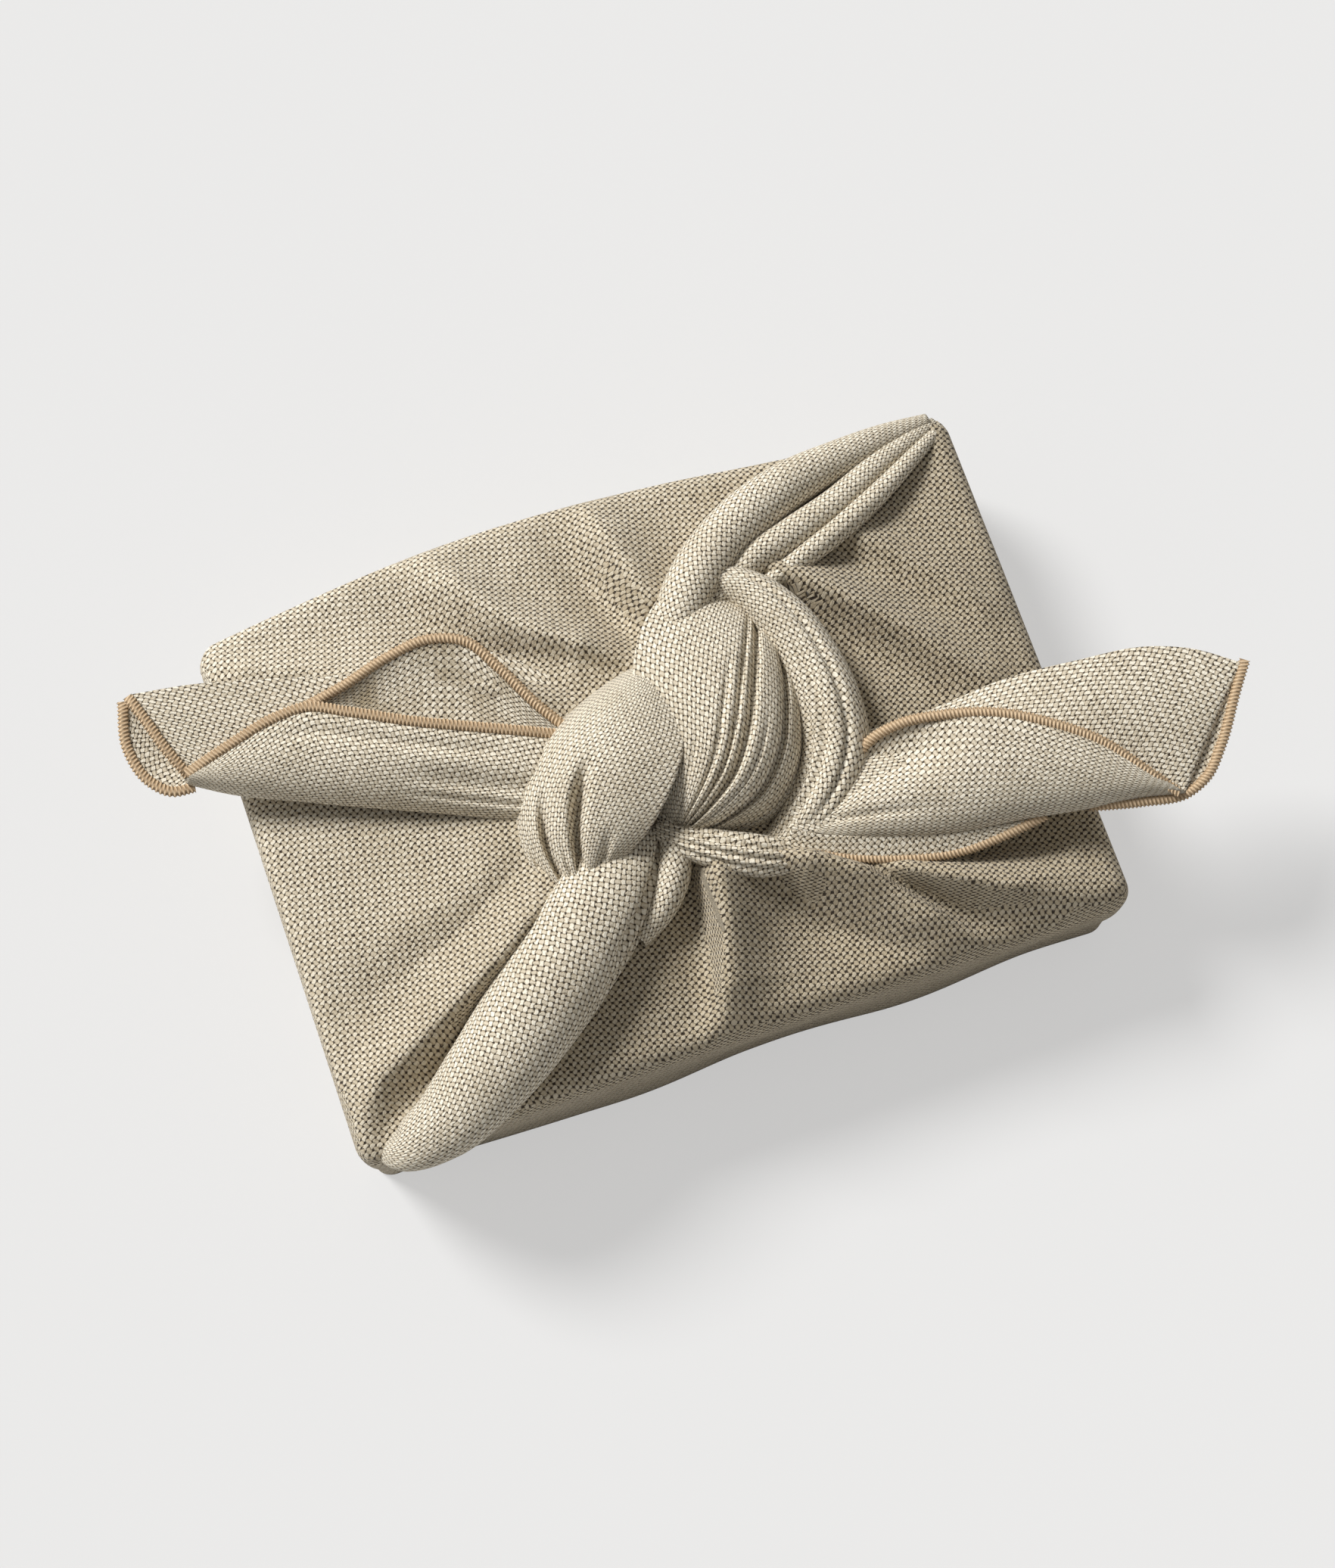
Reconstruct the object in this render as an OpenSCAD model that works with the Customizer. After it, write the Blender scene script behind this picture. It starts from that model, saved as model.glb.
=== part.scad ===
// Gift box wrapped in a square furoshiki cloth.
// Two corners of the cloth are folded over the lid. The other two are rolled, brought
// over the box and tied in a square knot, whose two ends are free tails.
// The origin is the middle of the wrapped box's underside. +X runs along its long
// side, +Y to its back and +Z up.

/* [Gift box] */
// Outside length of the lidded box
box_l = 244; // [200:1:320]
// Outside width of the lidded box
box_w = 164; // [150:1:220]
// Outside height of the lidded box
box_h = 46; // [30:1:80]
// Thickness of the paperboard
board_t = 1.6; // [1:0.1:3]
// How far the lid reaches down over the tray
lid_depth = 20; // [10:1:26]
// Gap between the tray's walls and the lid's walls
lid_fit = 0.4; // [0.2:0.1:1]

/* [Cloth] */
// Thickness of the woven cloth
cloth_t = 1.2; // [0.8:0.1:2]
// Gap between the box and the cloth drawn round it
cloth_ease = 0.3; // [0.1:0.1:0.8]
// Radius that the cloth takes round the box's upright edges
corner_r = 6; // [3:0.5:10]
// How far the slack along the back edge stands out
slack_out = 10; // [4:0.5:14]
// Width of the slack along the back edge
slack_w = 150; // [80:1:160]
// Height of the slack along the back edge
slack_h = 20; // [10:1:28]
// Gap kept between neighbouring folds of cloth
fold_gap = 0.3; // [0.2:0.05:0.6]

/* [Rolled corners] */
// Radius of the rolled corner that comes from the front left
left_roll_r = 11.5; // [8:0.5:13]
// Radius of each of the two rolls that come from the back right
right_roll_r = 7.5; // [5:0.5:8.5]
// How far the rolls' outer ends stay inside the box's edges
roll_inset = 15; // [13:1:24]

/* [Knot] */
// Height of the knot's left loop above the flaps
left_loop_h = 36; // [28:1:42]
// Radius of the left loop, seen from above
left_loop_r = 27; // [24:0.5:30]
// Height of the knot's right loop above the flaps
right_loop_h = 41; // [32:1:46]
// Radius of the right loop, seen from above
right_loop_r = 27; // [25:0.5:29]
// Radius of the dome over both loops
dome_r = 34; // [31:0.5:40]
// Radius of the rolled edge round the right loop
rim_r = 5.5; // [4:0.5:7]
// Height of the rolled edge's middle above the flaps
rim_z = 15; // [12:0.5:18]

/* [Tails] */
// Thickness of a tail at its bend
tail_t = 13; // [9:0.5:14]
// Length of the left tail from its bend to its tip
left_tail_l = 105; // [80:1:120]
// Width of the left tail at its widest
left_tail_w = 42; // [36:1:46]
// Length of the right tail from its bend to its tip
right_tail_l = 112; // [80:1:120]
// Width of the right tail at its widest
right_tail_w = 42; // [36:1:46]
// Width of both tails at the bend
tail_root_w = 34; // [26:1:36]

/* [Overlocked hem] */
// Width of the overlocked edge
hem_w = 3.4; // [2:0.1:5]
// Thickness of the overlocked edge
hem_t = 2.6; // [1.6:0.1:4]

/* [Hidden] */
$fn = 64;

board_colour = [0.80, 0.74, 0.64];
cloth_colour = [0.70, 0.65, 0.56];
hem_colour = [0.70, 0.56, 0.40];

// Box and the cloth round it. The cloth is doubled at the sides, where it is gathered
side_t = 2 * cloth_t;
wrap_l = box_l + 2 * (cloth_ease + side_t);
wrap_w = box_w + 2 * (cloth_ease + side_t);
box_z = cloth_t;
cloth_top = box_z + box_h + cloth_ease + cloth_t;
flap_top = cloth_top + cloth_t;
rest_z = flap_top + fold_gap;
slack_x = -25;

// The loops lean on each other at the knot's middle, which flattens both
knot_x = 6;
left_bite = 2;
right_bite = 13;
left_loop_at = [knot_x - left_loop_r + left_bite, 0];
right_loop_at = [knot_x + right_loop_r - right_bite, 3];

// The rolled edge is an arc about the right loop, with angles from +X
rim_centre_r = right_loop_r + fold_gap + rim_r;
rim_from = -80;
rim_sweep = 100;

// The rolls run from near the box's corners into the loops
left_roll_from = [-wrap_l / 2 + roll_inset, -wrap_w / 2 + roll_inset];
left_roll_to = left_loop_at + [3, -12];
outer_roll_from = [wrap_l / 2 - roll_inset, wrap_w / 2 - roll_inset];
outer_roll_to = right_loop_at + [4, 15];
roll_run = outer_roll_to - outer_roll_from;
roll_side = [roll_run[1], -roll_run[0]] / norm(roll_run);
inner_roll_shift = (2 * right_roll_r + fold_gap) * roll_side;
inner_roll_start = 0.22;
inner_roll_from = outer_roll_from + inner_roll_start * roll_run + inner_roll_shift;
inner_roll_to = outer_roll_to + inner_roll_shift;

// A tail bends about a level line that just clears its loop. The direction in which
// the bend lies, seen from the loop's middle, differs from the tail's own direction
tail_r = tail_t / 2;
plate_step = 0.5;
left_tail_turn = 160;
left_bend_turn = 140;
left_bend_out = (left_loop_r + fold_gap + tail_r) / cos(left_tail_turn - left_bend_turn);
left_bend = left_loop_at + left_bend_out * [cos(left_bend_turn), sin(left_bend_turn)];
left_bend_z = rest_z + tail_r;
right_tail_turn = -9;
right_bend_turn = -28;
right_bend_out = (rim_centre_r + rim_r + fold_gap + tail_r) / cos(right_tail_turn - right_bend_turn);
right_bend = right_loop_at + right_bend_out * [cos(right_bend_turn), sin(right_bend_turn)];
right_bend_z = flap_top + rim_z;

// Outlines of the tails in their own frames: x runs from the bend to the tip
root_edge = tail_root_w / 2;
left_outline = [
    [0, -root_edge],
    [left_tail_l * 0.17, -left_tail_w * 0.60],
    [left_tail_l * 0.49, -left_tail_w * 0.46],
    [left_tail_l, -left_tail_w * 0.32],
    [left_tail_l * 0.98, left_tail_w * 0.10],
    [left_tail_l * 0.84, left_tail_w * 0.20],
    [left_tail_l * 0.45, left_tail_w * 0.36],
    [0, root_edge]
];
right_outline = [
    [0, -root_edge],
    [right_tail_l * 0.20, -right_tail_w * 0.58],
    [right_tail_l * 0.80, -right_tail_w * 0.64],
    [right_tail_l * 0.87, -right_tail_w * 0.56],
    [right_tail_l, right_tail_w * 0.20],
    [right_tail_l * 0.78, right_tail_w * 0.40],
    [right_tail_l * 0.36, right_tail_w * 0.38],
    [0, root_edge]
];

module rounded_plan(l, w, r) {
    square([l - 2 * r, w], center = true);
    square([l, w - 2 * r], center = true);
    for (sx = [-1, 1], sy = [-1, 1])
        translate([sx * (l / 2 - r), sy * (w / 2 - r)]) circle(r);
}

module open_box(l, w, h, t) {
    difference() {
        translate([-l / 2, -w / 2, 0]) cube([l, w, h]);
        translate([-l / 2 + t, -w / 2 + t, t]) cube([l - 2 * t, w - 2 * t, h]);
    }
}

// A roll of cloth with round ends that lies level between two points. A bed cut for it
// is that much larger and keeps its middle line
module roll(from, to, r, bed = 0) {
    run = to - from;
    translate([from[0], from[1], rest_z + r - bed])
        rotate([0, 90, atan2(run[1], run[0])]) rotate_extrude() intersection() {
            translate([0, -r]) square([r, norm(run) + 2 * r]);
            union() {
                translate([-r, 0]) square([2 * r, norm(run)]);
                circle(r);
                translate([0, norm(run)]) circle(r);
            }
        }
}

// A loop of cloth: round, upright at its foot and domed over its top
module loop(r, h) {
    intersection() {
        cylinder(h = h, r = r);
        translate([0, 0, h - dome_r]) sphere(dome_r);
    }
}

// A plate with the outline given, and a round edge on the line where it bends
module tail(outline) {
    translate([0, 0, plate_step - tail_r])
        linear_extrude(tail_t - 2 * plate_step) polygon(outline);
    rotate([90, 0, 0]) cylinder(h = tail_root_w, r = tail_r, center = true);
}

// Points moved out to the right of the path that they follow, with mitred corners
function pushed(points, out) = [for (i = [0:len(points) - 1])
    let (
        last = len(points) - 1,
        before = i == 0 ? points[1] - points[0] : points[i] - points[i - 1],
        after = i == last ? before : points[i + 1] - points[i],
        mean = before / norm(before) + after / norm(after),
        along = mean / norm(mean),
        reach = out / (along * after / norm(after))
    )
    points[i] + reach * [along[1], -along[0]]
];

// The overlocked edge follows the tail's free sides
module tail_hem(outline) {
    edge = [for (i = [1:len(outline) - 2]) outline[i]];
    far_edge = pushed(edge, hem_w);
    color(hem_colour) translate([0, 0, -hem_t / 2]) linear_extrude(hem_t)
        polygon(concat(edge, [for (i = [len(edge) - 1:-1:0]) far_edge[i]]));
}

// Half of the sheet that the two folded corners make under the knot
module flap(turn) {
    half_l = wrap_l / 2 - corner_r;
    half_w = wrap_w / 2 - corner_r;
    color(cloth_colour) translate([0, 0, cloth_top]) rotate(turn)
        translate([-half_l, -half_w, 0]) cube([2 * half_l, half_w - fold_gap / 2, cloth_t]);
}

module gift_box_tray() {
    side = board_t + lid_fit;
    color(board_colour) translate([0, 0, box_z])
        open_box(box_l - 2 * side, box_w - 2 * side, box_h - board_t, board_t);
}

module gift_box_lid() {
    color(board_colour) translate([0, 0, box_z + box_h]) mirror([0, 0, 1])
        open_box(box_l, box_w, lid_depth, board_t);
}

module wrap_cloth() {
    inner_l = box_l + 2 * cloth_ease;
    inner_w = box_w + 2 * cloth_ease;
    color(cloth_colour) difference() {
        linear_extrude(cloth_top) rounded_plan(wrap_l, wrap_w, corner_r);
        translate([-inner_l / 2, -inner_w / 2, box_z]) cube([inner_l, inner_w, box_h + cloth_ease]);
    }
}

// Slack cloth that stands out behind the back edge, an arc seen from above
module back_slack_fold() {
    arc_r = (pow(slack_w / 2, 2) + pow(slack_out, 2)) / (2 * slack_out);
    color(cloth_colour) translate([slack_x, wrap_w / 2, cloth_top - slack_h])
        linear_extrude(slack_h) intersection() {
            translate([0, slack_out - arc_r]) circle(arc_r, $fn = 360);
            translate([-slack_w / 2, 0]) square([slack_w, slack_out]);
        }
}

module front_flap() { flap(0); }

module back_flap() { flap(180); }

module left_roll() {
    color(cloth_colour) roll(left_roll_from, left_roll_to, left_roll_r);
}

module right_roll_outer() {
    color(cloth_colour) roll(outer_roll_from, outer_roll_to, right_roll_r);
}

module right_roll_inner() {
    color(cloth_colour) roll(inner_roll_from, inner_roll_to, right_roll_r);
}

// A square slot for the pair of rolls, as seen along them towards the knot
module right_roll_slot() {
    side = right_roll_r + fold_gap;
    translate([outer_roll_to[0], outer_roll_to[1], flap_top - 1])
        rotate(atan2(roll_run[1], roll_run[0])) translate([-2 * right_loop_r, -3 * side, 0])
            cube([2 * right_loop_r + side, 4 * side, 2 * right_roll_r + 2 * fold_gap + 1]);
}

module knot_left_loop() {
    color(cloth_colour) difference() {
        translate([left_loop_at[0], left_loop_at[1], flap_top]) loop(left_loop_r, left_loop_h);
        translate([knot_x - fold_gap / 2, -2 * left_loop_r, flap_top - 1])
            cube([2 * left_loop_r, 4 * left_loop_r, left_loop_h + 2]);
        roll(left_roll_from, left_roll_to, left_roll_r + fold_gap, fold_gap);
    }
}

module knot_right_loop() {
    color(cloth_colour) difference() {
        translate([right_loop_at[0], right_loop_at[1], flap_top]) loop(right_loop_r, right_loop_h);
        translate([knot_x + fold_gap / 2 - 2 * right_loop_r, -2 * right_loop_r, flap_top - 1])
            cube([2 * right_loop_r, 4 * right_loop_r, right_loop_h + 2]);
        right_roll_slot();
    }
}

module knot_rim_roll() {
    color(cloth_colour) translate([right_loop_at[0], right_loop_at[1], flap_top + rim_z])
        rotate(rim_from) rotate_extrude(angle = rim_sweep)
            translate([rim_centre_r, 0]) circle(rim_r);
}

module at_left_bend() {
    translate([left_bend[0], left_bend[1], left_bend_z]) rotate(left_tail_turn) children();
}

module at_right_bend() {
    translate([right_bend[0], right_bend[1], right_bend_z]) rotate(right_tail_turn) children();
}

module left_tail() {
    color(cloth_colour) at_left_bend() tail(left_outline);
}

module left_tail_hem() {
    at_left_bend() tail_hem(left_outline);
}

module right_tail() {
    color(cloth_colour) at_right_bend() tail(right_outline);
}

module right_tail_hem() {
    at_right_bend() tail_hem(right_outline);
}

gift_box_tray();
gift_box_lid();
wrap_cloth();
back_slack_fold();
front_flap();
back_flap();
left_roll();
right_roll_outer();
right_roll_inner();
knot_left_loop();
knot_right_loop();
knot_rim_roll();
left_tail();
left_tail_hem();
right_tail();
right_tail_hem();
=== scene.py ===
import math
import bpy
import bmesh
import numpy as np
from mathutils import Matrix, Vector, noise


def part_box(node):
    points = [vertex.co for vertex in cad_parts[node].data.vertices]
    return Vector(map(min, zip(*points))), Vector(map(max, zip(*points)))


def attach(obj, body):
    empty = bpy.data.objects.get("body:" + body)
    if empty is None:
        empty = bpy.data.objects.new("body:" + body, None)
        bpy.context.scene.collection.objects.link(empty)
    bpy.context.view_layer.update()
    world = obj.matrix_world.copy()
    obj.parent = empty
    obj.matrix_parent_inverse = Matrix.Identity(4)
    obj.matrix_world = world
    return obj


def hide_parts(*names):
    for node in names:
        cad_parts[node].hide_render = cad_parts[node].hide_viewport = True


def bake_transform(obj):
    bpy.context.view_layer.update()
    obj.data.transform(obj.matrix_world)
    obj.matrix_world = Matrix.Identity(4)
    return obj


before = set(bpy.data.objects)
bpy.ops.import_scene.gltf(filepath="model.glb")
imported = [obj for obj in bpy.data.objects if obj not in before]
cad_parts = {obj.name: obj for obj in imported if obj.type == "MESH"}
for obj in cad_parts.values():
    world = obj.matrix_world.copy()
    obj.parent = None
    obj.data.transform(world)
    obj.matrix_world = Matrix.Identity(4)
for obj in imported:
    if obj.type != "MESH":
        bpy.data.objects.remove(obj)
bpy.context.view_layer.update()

# Shapes are in millimetres. Cuts, tail roots, weave and thread sizes and the view are in metres.
mm = 0.001
skinLow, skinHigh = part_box("wrap_cloth")
halfLength = (skinHigh[0] - skinLow[0]) / 2 / mm
halfWidth = (skinHigh[1] - skinLow[1]) / 2 / mm
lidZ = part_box("front_flap")[1][2] / mm  # height of the cloth over the lid
scene = bpy.context.scene


def curveThrough(points):
    # a smooth line through rows of numbers, by their spacing in x, y and z
    table = np.array(points, float)
    steps = np.linalg.norm(np.diff(table[:, :3], axis=0), axis=1)
    knots = np.concatenate([[0], np.cumsum(steps)])
    slopes = np.gradient(table, knots, axis=0)

    def at(t):
        s = min(max(t, 0), 1) * knots[-1]
        i = min(int(np.searchsorted(knots, s, side="right")) - 1, len(knots) - 2)
        h = knots[i + 1] - knots[i]
        x = (s - knots[i]) / h
        return ((2 * x**3 - 3 * x**2 + 1) * table[i] + (x**3 - 2 * x**2 + x) * h * slopes[i]
                + (3 * x**2 - 2 * x**3) * table[i + 1] + (x**3 - x**2) * h * slopes[i + 1])
    at.length = knots[-1]
    return at


def bump(x, centre, width):
    return math.exp(-((x - centre) / width) ** 2)


def smooth(x, low, high):
    t = min(max((x - low) / (high - low), 0), 1)
    return t * t * (3 - 2 * t)


def pleatDepth(pleats, u, v, ease):
    # a pleat is its place across the cloth, width, depth, and where it starts and ends
    total = 0
    for centre, width, depth, start, end in pleats:
        here = smooth(u, start, start + ease) * (1 - smooth(u, end - ease, end))
        total += depth * bump(v, centre, width) * here
    return total


def turned(x, y, degrees):
    c, s = math.cos(math.radians(degrees)), math.sin(math.radians(degrees))
    return c * x - s * y, s * x + c * y


def addObject(name, bm):
    mesh = bpy.data.meshes.new(name)
    bm.to_mesh(mesh)
    bm.free()
    made = bpy.data.objects.new(name, mesh)
    scene.collection.objects.link(made)
    return made


def addWall(piece, thickness):
    wall = piece.modifiers.new("wall", "SOLIDIFY")
    wall.thickness = thickness * mm
    wall.offset = -1


weld = 0.00001  # vertices closer than this, in metres, are merged
cloth = {
    "wall": 0.9, "rollStep": 0.01,
    "rollEase": 0.15, "spanEase": 0.2,  # share of the length over which a pleat starts or ends
    "riseEnds": 0.4, "curlWidth": 0.3, "riseWidth": 0.5,
}


def clothPiece(name, shape, place, size):
    # a grid of cloth, moved point by point, its threads turned by an angle
    bm = bmesh.new()
    uv = bm.loops.layers.uv.new("weave")
    bmesh.ops.create_grid(bm, x_segments=shape["grid"][0], y_segments=shape["grid"][1], size=0.5)
    flat = {}
    for vert in bm.verts:
        u, v = vert.co.x + 0.5, vert.co.y + 0.5
        flat[vert] = turned(u * size[0] * mm, v * size[1] * mm, shape["turn"])
        vert.co = Vector(place(u, v)) * mm
    for face in bm.faces:
        face.smooth = True
        for loop in face.loops:
            loop[uv].uv = flat[loop.vert]
    bm.normal_update()
    if sum(face.normal.z * face.calc_area() for face in bm.faces) < 0:
        bmesh.ops.reverse_faces(bm, faces=bm.faces)
    piece = addObject(name, bm)
    addWall(piece, cloth["wall"])
    return piece


def rolledCloth(name, shape):
    # a station is x, y, height over the lid, half width and half height
    stations, wrap = shape["stations"], shape["wrap"]
    line = curveThrough(stations)
    middle = stations[len(stations) // 2]
    girth = math.radians(wrap) * (middle[3] + middle[4])

    def place(u, v):
        x, y, z, wide, tall = line(u)
        ahead, behind = line(min(u + cloth["rollStep"], 1)), line(max(u - cloth["rollStep"], 0))
        run = ahead[:2] - behind[:2]
        run /= np.linalg.norm(run)
        angle = math.radians((2 * v - 1) * wrap)
        swell = 1 - pleatDepth(shape.get("pleats", ()), u, v, cloth["rollEase"])
        out, up = wide * swell * math.sin(angle), tall * swell * math.cos(angle)
        return x + run[1] * out, y - run[0] * out, lidZ + z + up
    return clothPiece(name, shape, place, (line.length, girth))


def spannedCloth(name, shape):
    # cloth between two edges; rise lifts it where crown says, curl rounds it over the low edge
    low, high = curveThrough(shape["low"]), curveThrough(shape["high"])
    rise, curl = shape.get("rise", 0), shape.get("curl", 0)
    lean = math.log(0.5) / math.log(shape.get("crown", 0.5))
    span = np.linalg.norm(low(0.5) - high(0.5)) * (1 + curl * cloth["curlWidth"]) + rise * cloth["riseWidth"]

    def place(u, v):
        a, b = low(u), high(u)
        flatShare = v * (1 - curl) + curl * (1 - math.cos(math.pi / 2 * v))
        upShare = v * (1 - curl) + curl * math.sin(math.pi / 2 * v)
        x, y = a[:2] + (b - a)[:2] * flatShare
        arch = rise * math.sin(math.pi * v ** lean) * math.sin(math.pi * u) ** cloth["riseEnds"]
        sunk = pleatDepth(shape.get("pleats", ()), u, v, cloth["spanEase"])
        return x, y, lidZ + a[2] + (b[2] - a[2]) * upShare + arch - sunk
    return clothPiece(name, shape, place, (low.length, span))


class Shader:
    def __init__(self, name):
        self.material = bpy.data.materials.new(name)
        self.material.use_nodes = True
        self.tree = self.material.node_tree
        self.shader = self.tree.nodes["Principled BSDF"]

    def node(self, kind, **values):
        made = self.tree.nodes.new(kind)
        for key, value in values.items():
            setattr(made, key, value)
        return made

    def wire(self, value, socket):
        if isinstance(value, bpy.types.NodeSocket):
            self.tree.links.new(value, socket)
        else:
            socket.default_value = value

    def calc(self, operation, a, b=0.0):
        made = self.node("ShaderNodeMath", operation=operation)
        self.wire(a, made.inputs[0])
        self.wire(b, made.inputs[1])
        return made.outputs[0]

    def plus(self, a, b):
        return self.calc("ADD", a, b)

    def minus(self, a, b):
        return self.calc("SUBTRACT", a, b)

    def times(self, a, b):
        return self.calc("MULTIPLY", a, b)

    def split(self, vector):
        made = self.node("ShaderNodeSeparateXYZ")
        self.wire(vector, made.inputs[0])
        return made.outputs

    def mix(self, share, a, b):
        made = self.node("ShaderNodeMix", data_type="RGBA")
        self.wire(share, made.inputs[0])
        self.wire(a, made.inputs[6])
        self.wire(b, made.inputs[7])
        return made.outputs[2]

    def ramp(self, value, low, high):
        made = self.node("ShaderNodeMapRange", interpolation_type="SMOOTHSTEP")
        self.wire(value, made.inputs[0])
        made.inputs[1].default_value = low
        made.inputs[2].default_value = high
        return made.outputs[0]

    def grain(self, where, scale, detail):
        made = self.node("ShaderNodeTexNoise")
        self.wire(where, made.inputs["Vector"])
        made.inputs["Scale"].default_value = scale
        made.inputs["Detail"].default_value = detail
        return made.outputs[0]

    def finish(self, colour, height, look):
        # look holds the relief's strength and depth, the roughness and what else the shader takes
        self.wire(colour, self.shader.inputs["Base Color"])
        raised = self.node("ShaderNodeBump")
        raised.inputs["Strength"].default_value = look["relief"]
        raised.inputs["Distance"].default_value = look["reliefDepth"]
        self.wire(height, raised.inputs["Height"])
        self.wire(raised.outputs[0], self.shader.inputs["Normal"])
        for socket, value in look["shader"].items():
            self.shader.inputs[socket].default_value = value
        return self.material


weave = {
    "pitch": 0.00158,  # from one thread to the next
    "gap": (0.050, 0.036, 0.024, 1), "light": (0.95, 0.88, 0.73, 1),
    "mid": (0.50, 0.41, 0.28, 1), "warm": (0.40, 0.32, 0.20, 1),
    "driftGrain": (120.0, 3.0), "drift": 0.0016,  # threads wander slowly
    "shakeGrain": (900.0, 2.0), "shake": 0.0011,  # and are uneven from one crossing to the next
    "fibreGrain": (2200.0, 4.0), "patchGrain": (60.0, 3.0),
    "crossing": 0.16, "gapRange": (1.22, 0.70), "overRange": (0.15, 0.75), "underRange": (0.25, 0.9),
    "fibreRange": (0.15, 0.5), "patchRange": (0.40, 0.75),
    "underShare": 0.45, "underHeight": 0.6, "fibreHeight": 0.5,
    # painted shade on the lid cloth: its direction, its range, how far it opens the gaps and how much it
    # warms
    "shadeAlong": 0.6, "shadeAcross": 0.55, "shadeRange": (-0.170, 0.065),
    "shadeGap": 0.26, "shadeWarm": 0.66,
    "relief": 0.7, "reliefDepth": 0.0005,
    "shader": {"Roughness": 0.92, "Specular IOR Level": 0.15, "Sheen Weight": 0.12, "Sheen Roughness": 0.5},
}


def clothMaterial(name, warmth, paintShade=False):
    # painted shade: towards the right and front of the lid, the sides that face away from the light, the gaps
    # open wider and the weave is darkened and warmed
    s = Shader(name)
    place = s.node("ShaderNodeTexCoord")
    flat = place.outputs["UV"]
    threads = s.split(flat)
    drift = s.times(s.minus(s.grain(flat, *weave["driftGrain"]), 0.5), weave["drift"])
    shake = s.times(s.minus(s.grain(flat, *weave["shakeGrain"]), 0.5), weave["shake"])
    waves = []
    for axis, sign in ((0, 1), (1, -1)):
        moved = s.plus(threads[axis], s.plus(drift, s.times(shake, sign)))
        waves.append(s.calc("SINE", s.times(s.calc("DIVIDE", moved, weave["pitch"]), math.pi)))
    crest = [s.calc("ABSOLUTE", wave) for wave in waves]
    fibre = s.grain(flat, *weave["fibreGrain"])
    patch = s.grain(flat, *weave["patchGrain"])
    over = s.ramp(s.times(waves[0], waves[1]), -weave["crossing"], weave["crossing"])
    spread = s.plus(s.plus(crest[0], crest[1]), s.times(fibre, weave["fibreHeight"]))
    # painted shade: the gaps open wider towards the right and front, away from the light
    if paintShade:
        spot = s.split(place.outputs["Object"])
        lean = s.minus(s.times(spot[0], weave["shadeAlong"]), s.times(spot[1], weave["shadeAcross"]))
        paintedShade = s.ramp(lean, *weave["shadeRange"])
        spread = s.minus(spread, s.times(paintedShade, weave["shadeGap"]))
    gap = s.ramp(spread, *weave["gapRange"])
    floats = s.times(over, s.ramp(crest[1], *weave["overRange"]))
    under = s.times(s.minus(1.0, over), s.ramp(crest[0], *weave["underRange"]))
    colour = s.mix(s.times(floats, s.ramp(fibre, *weave["fibreRange"])), weave["mid"], weave["light"])
    colour = s.mix(s.times(under, weave["underShare"]), colour, weave["light"])
    colour = s.mix(s.times(s.ramp(patch, *weave["patchRange"]), warmth), colour, weave["warm"])
    # painted shade: the same places are darkened and warmed
    if paintShade:
        colour = s.mix(s.times(paintedShade, weave["shadeWarm"]), colour, weave["warm"])
    colour = s.mix(gap, colour, weave["gap"])
    height = s.plus(floats, s.times(under, weave["underHeight"]))
    height = s.minus(s.plus(height, s.times(fibre, weave["fibreHeight"])), gap)
    return s.finish(colour, height, weave)


thread = {
    "pitch": 0.0012, "slant": 0.5, "stitchRange": (-0.8, 0.6), "fibreGrain": (2500.0, 3.0), "fibreShare": 0.5,
    "deep": (0.30, 0.18, 0.08, 1), "pale": (0.68, 0.50, 0.31, 1), "fibre": (0.70, 0.56, 0.40, 1),
    "relief": 0.6, "reliefDepth": 0.0003,
    "shader": {"Roughness": 0.85, "Specular IOR Level": 0.2},
}


def threadMaterial(name):
    s = Shader(name)
    flat = s.node("ShaderNodeTexCoord").outputs["UV"]
    along, across = s.split(flat)[:2]
    slant = s.plus(along, s.times(across, thread["slant"]))
    stitch = s.calc("COSINE", s.times(slant, 2 * math.pi / thread["pitch"]))
    fibre = s.grain(flat, *thread["fibreGrain"])
    colour = s.mix(s.ramp(stitch, *thread["stitchRange"]), thread["deep"], thread["pale"])
    colour = s.mix(s.times(fibre, thread["fibreShare"]), colour, thread["fibre"])
    return s.finish(colour, s.plus(stitch, fibre), thread)


board = {
    "fibreGrain": (400.0, 6.0), "deep": (0.50, 0.40, 0.28, 1), "pale": (0.68, 0.57, 0.43, 1),
    "relief": 0.2, "reliefDepth": 0.0002, "shader": {"Roughness": 0.8},
}


def boardMaterial(name):
    s = Shader(name)
    fibre = s.grain(s.node("ShaderNodeTexCoord").outputs["Object"], *board["fibreGrain"])
    return s.finish(s.mix(fibre, board["deep"], board["pale"]), fibre, board)


clothFinish = clothMaterial("unbleached open weave", 0.25)
# the lid cloth, with painted shade towards the right and front
skinFinish = clothMaterial("open weave, with painted shade", 0.25, paintShade=True)
insideFinish = clothMaterial("open weave, wrong side", 0.85)
threadFinish = threadMaterial("tan overlock thread")
boardFinish = boardMaterial("paperboard")
print("materials")

tailRoots = {  # where a tail stops following the knot, and where it follows its own body
    "left_tail_body": ((-0.028, 0.016, 0.06), (-0.060, 0.028, 0.06)),
    "right_tail_body": ((0.044, -0.0165, 0.06), (0.077, -0.0217, 0.06)),
}


def followBody(piece, body):
    if body in tailRoots:
        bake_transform(piece)
    else:
        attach(piece, body)


def finishCloth(piece, shape, body="bundle"):
    # gives a piece its finish and parents it to its body, or bakes a tail piece in place; the cut is the
    # width and length of the flat cloth in this piece, and how much of it is used
    piece.data.materials.append(shape.get("finish", clothFinish))
    followBody(piece, body)
    return piece


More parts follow.
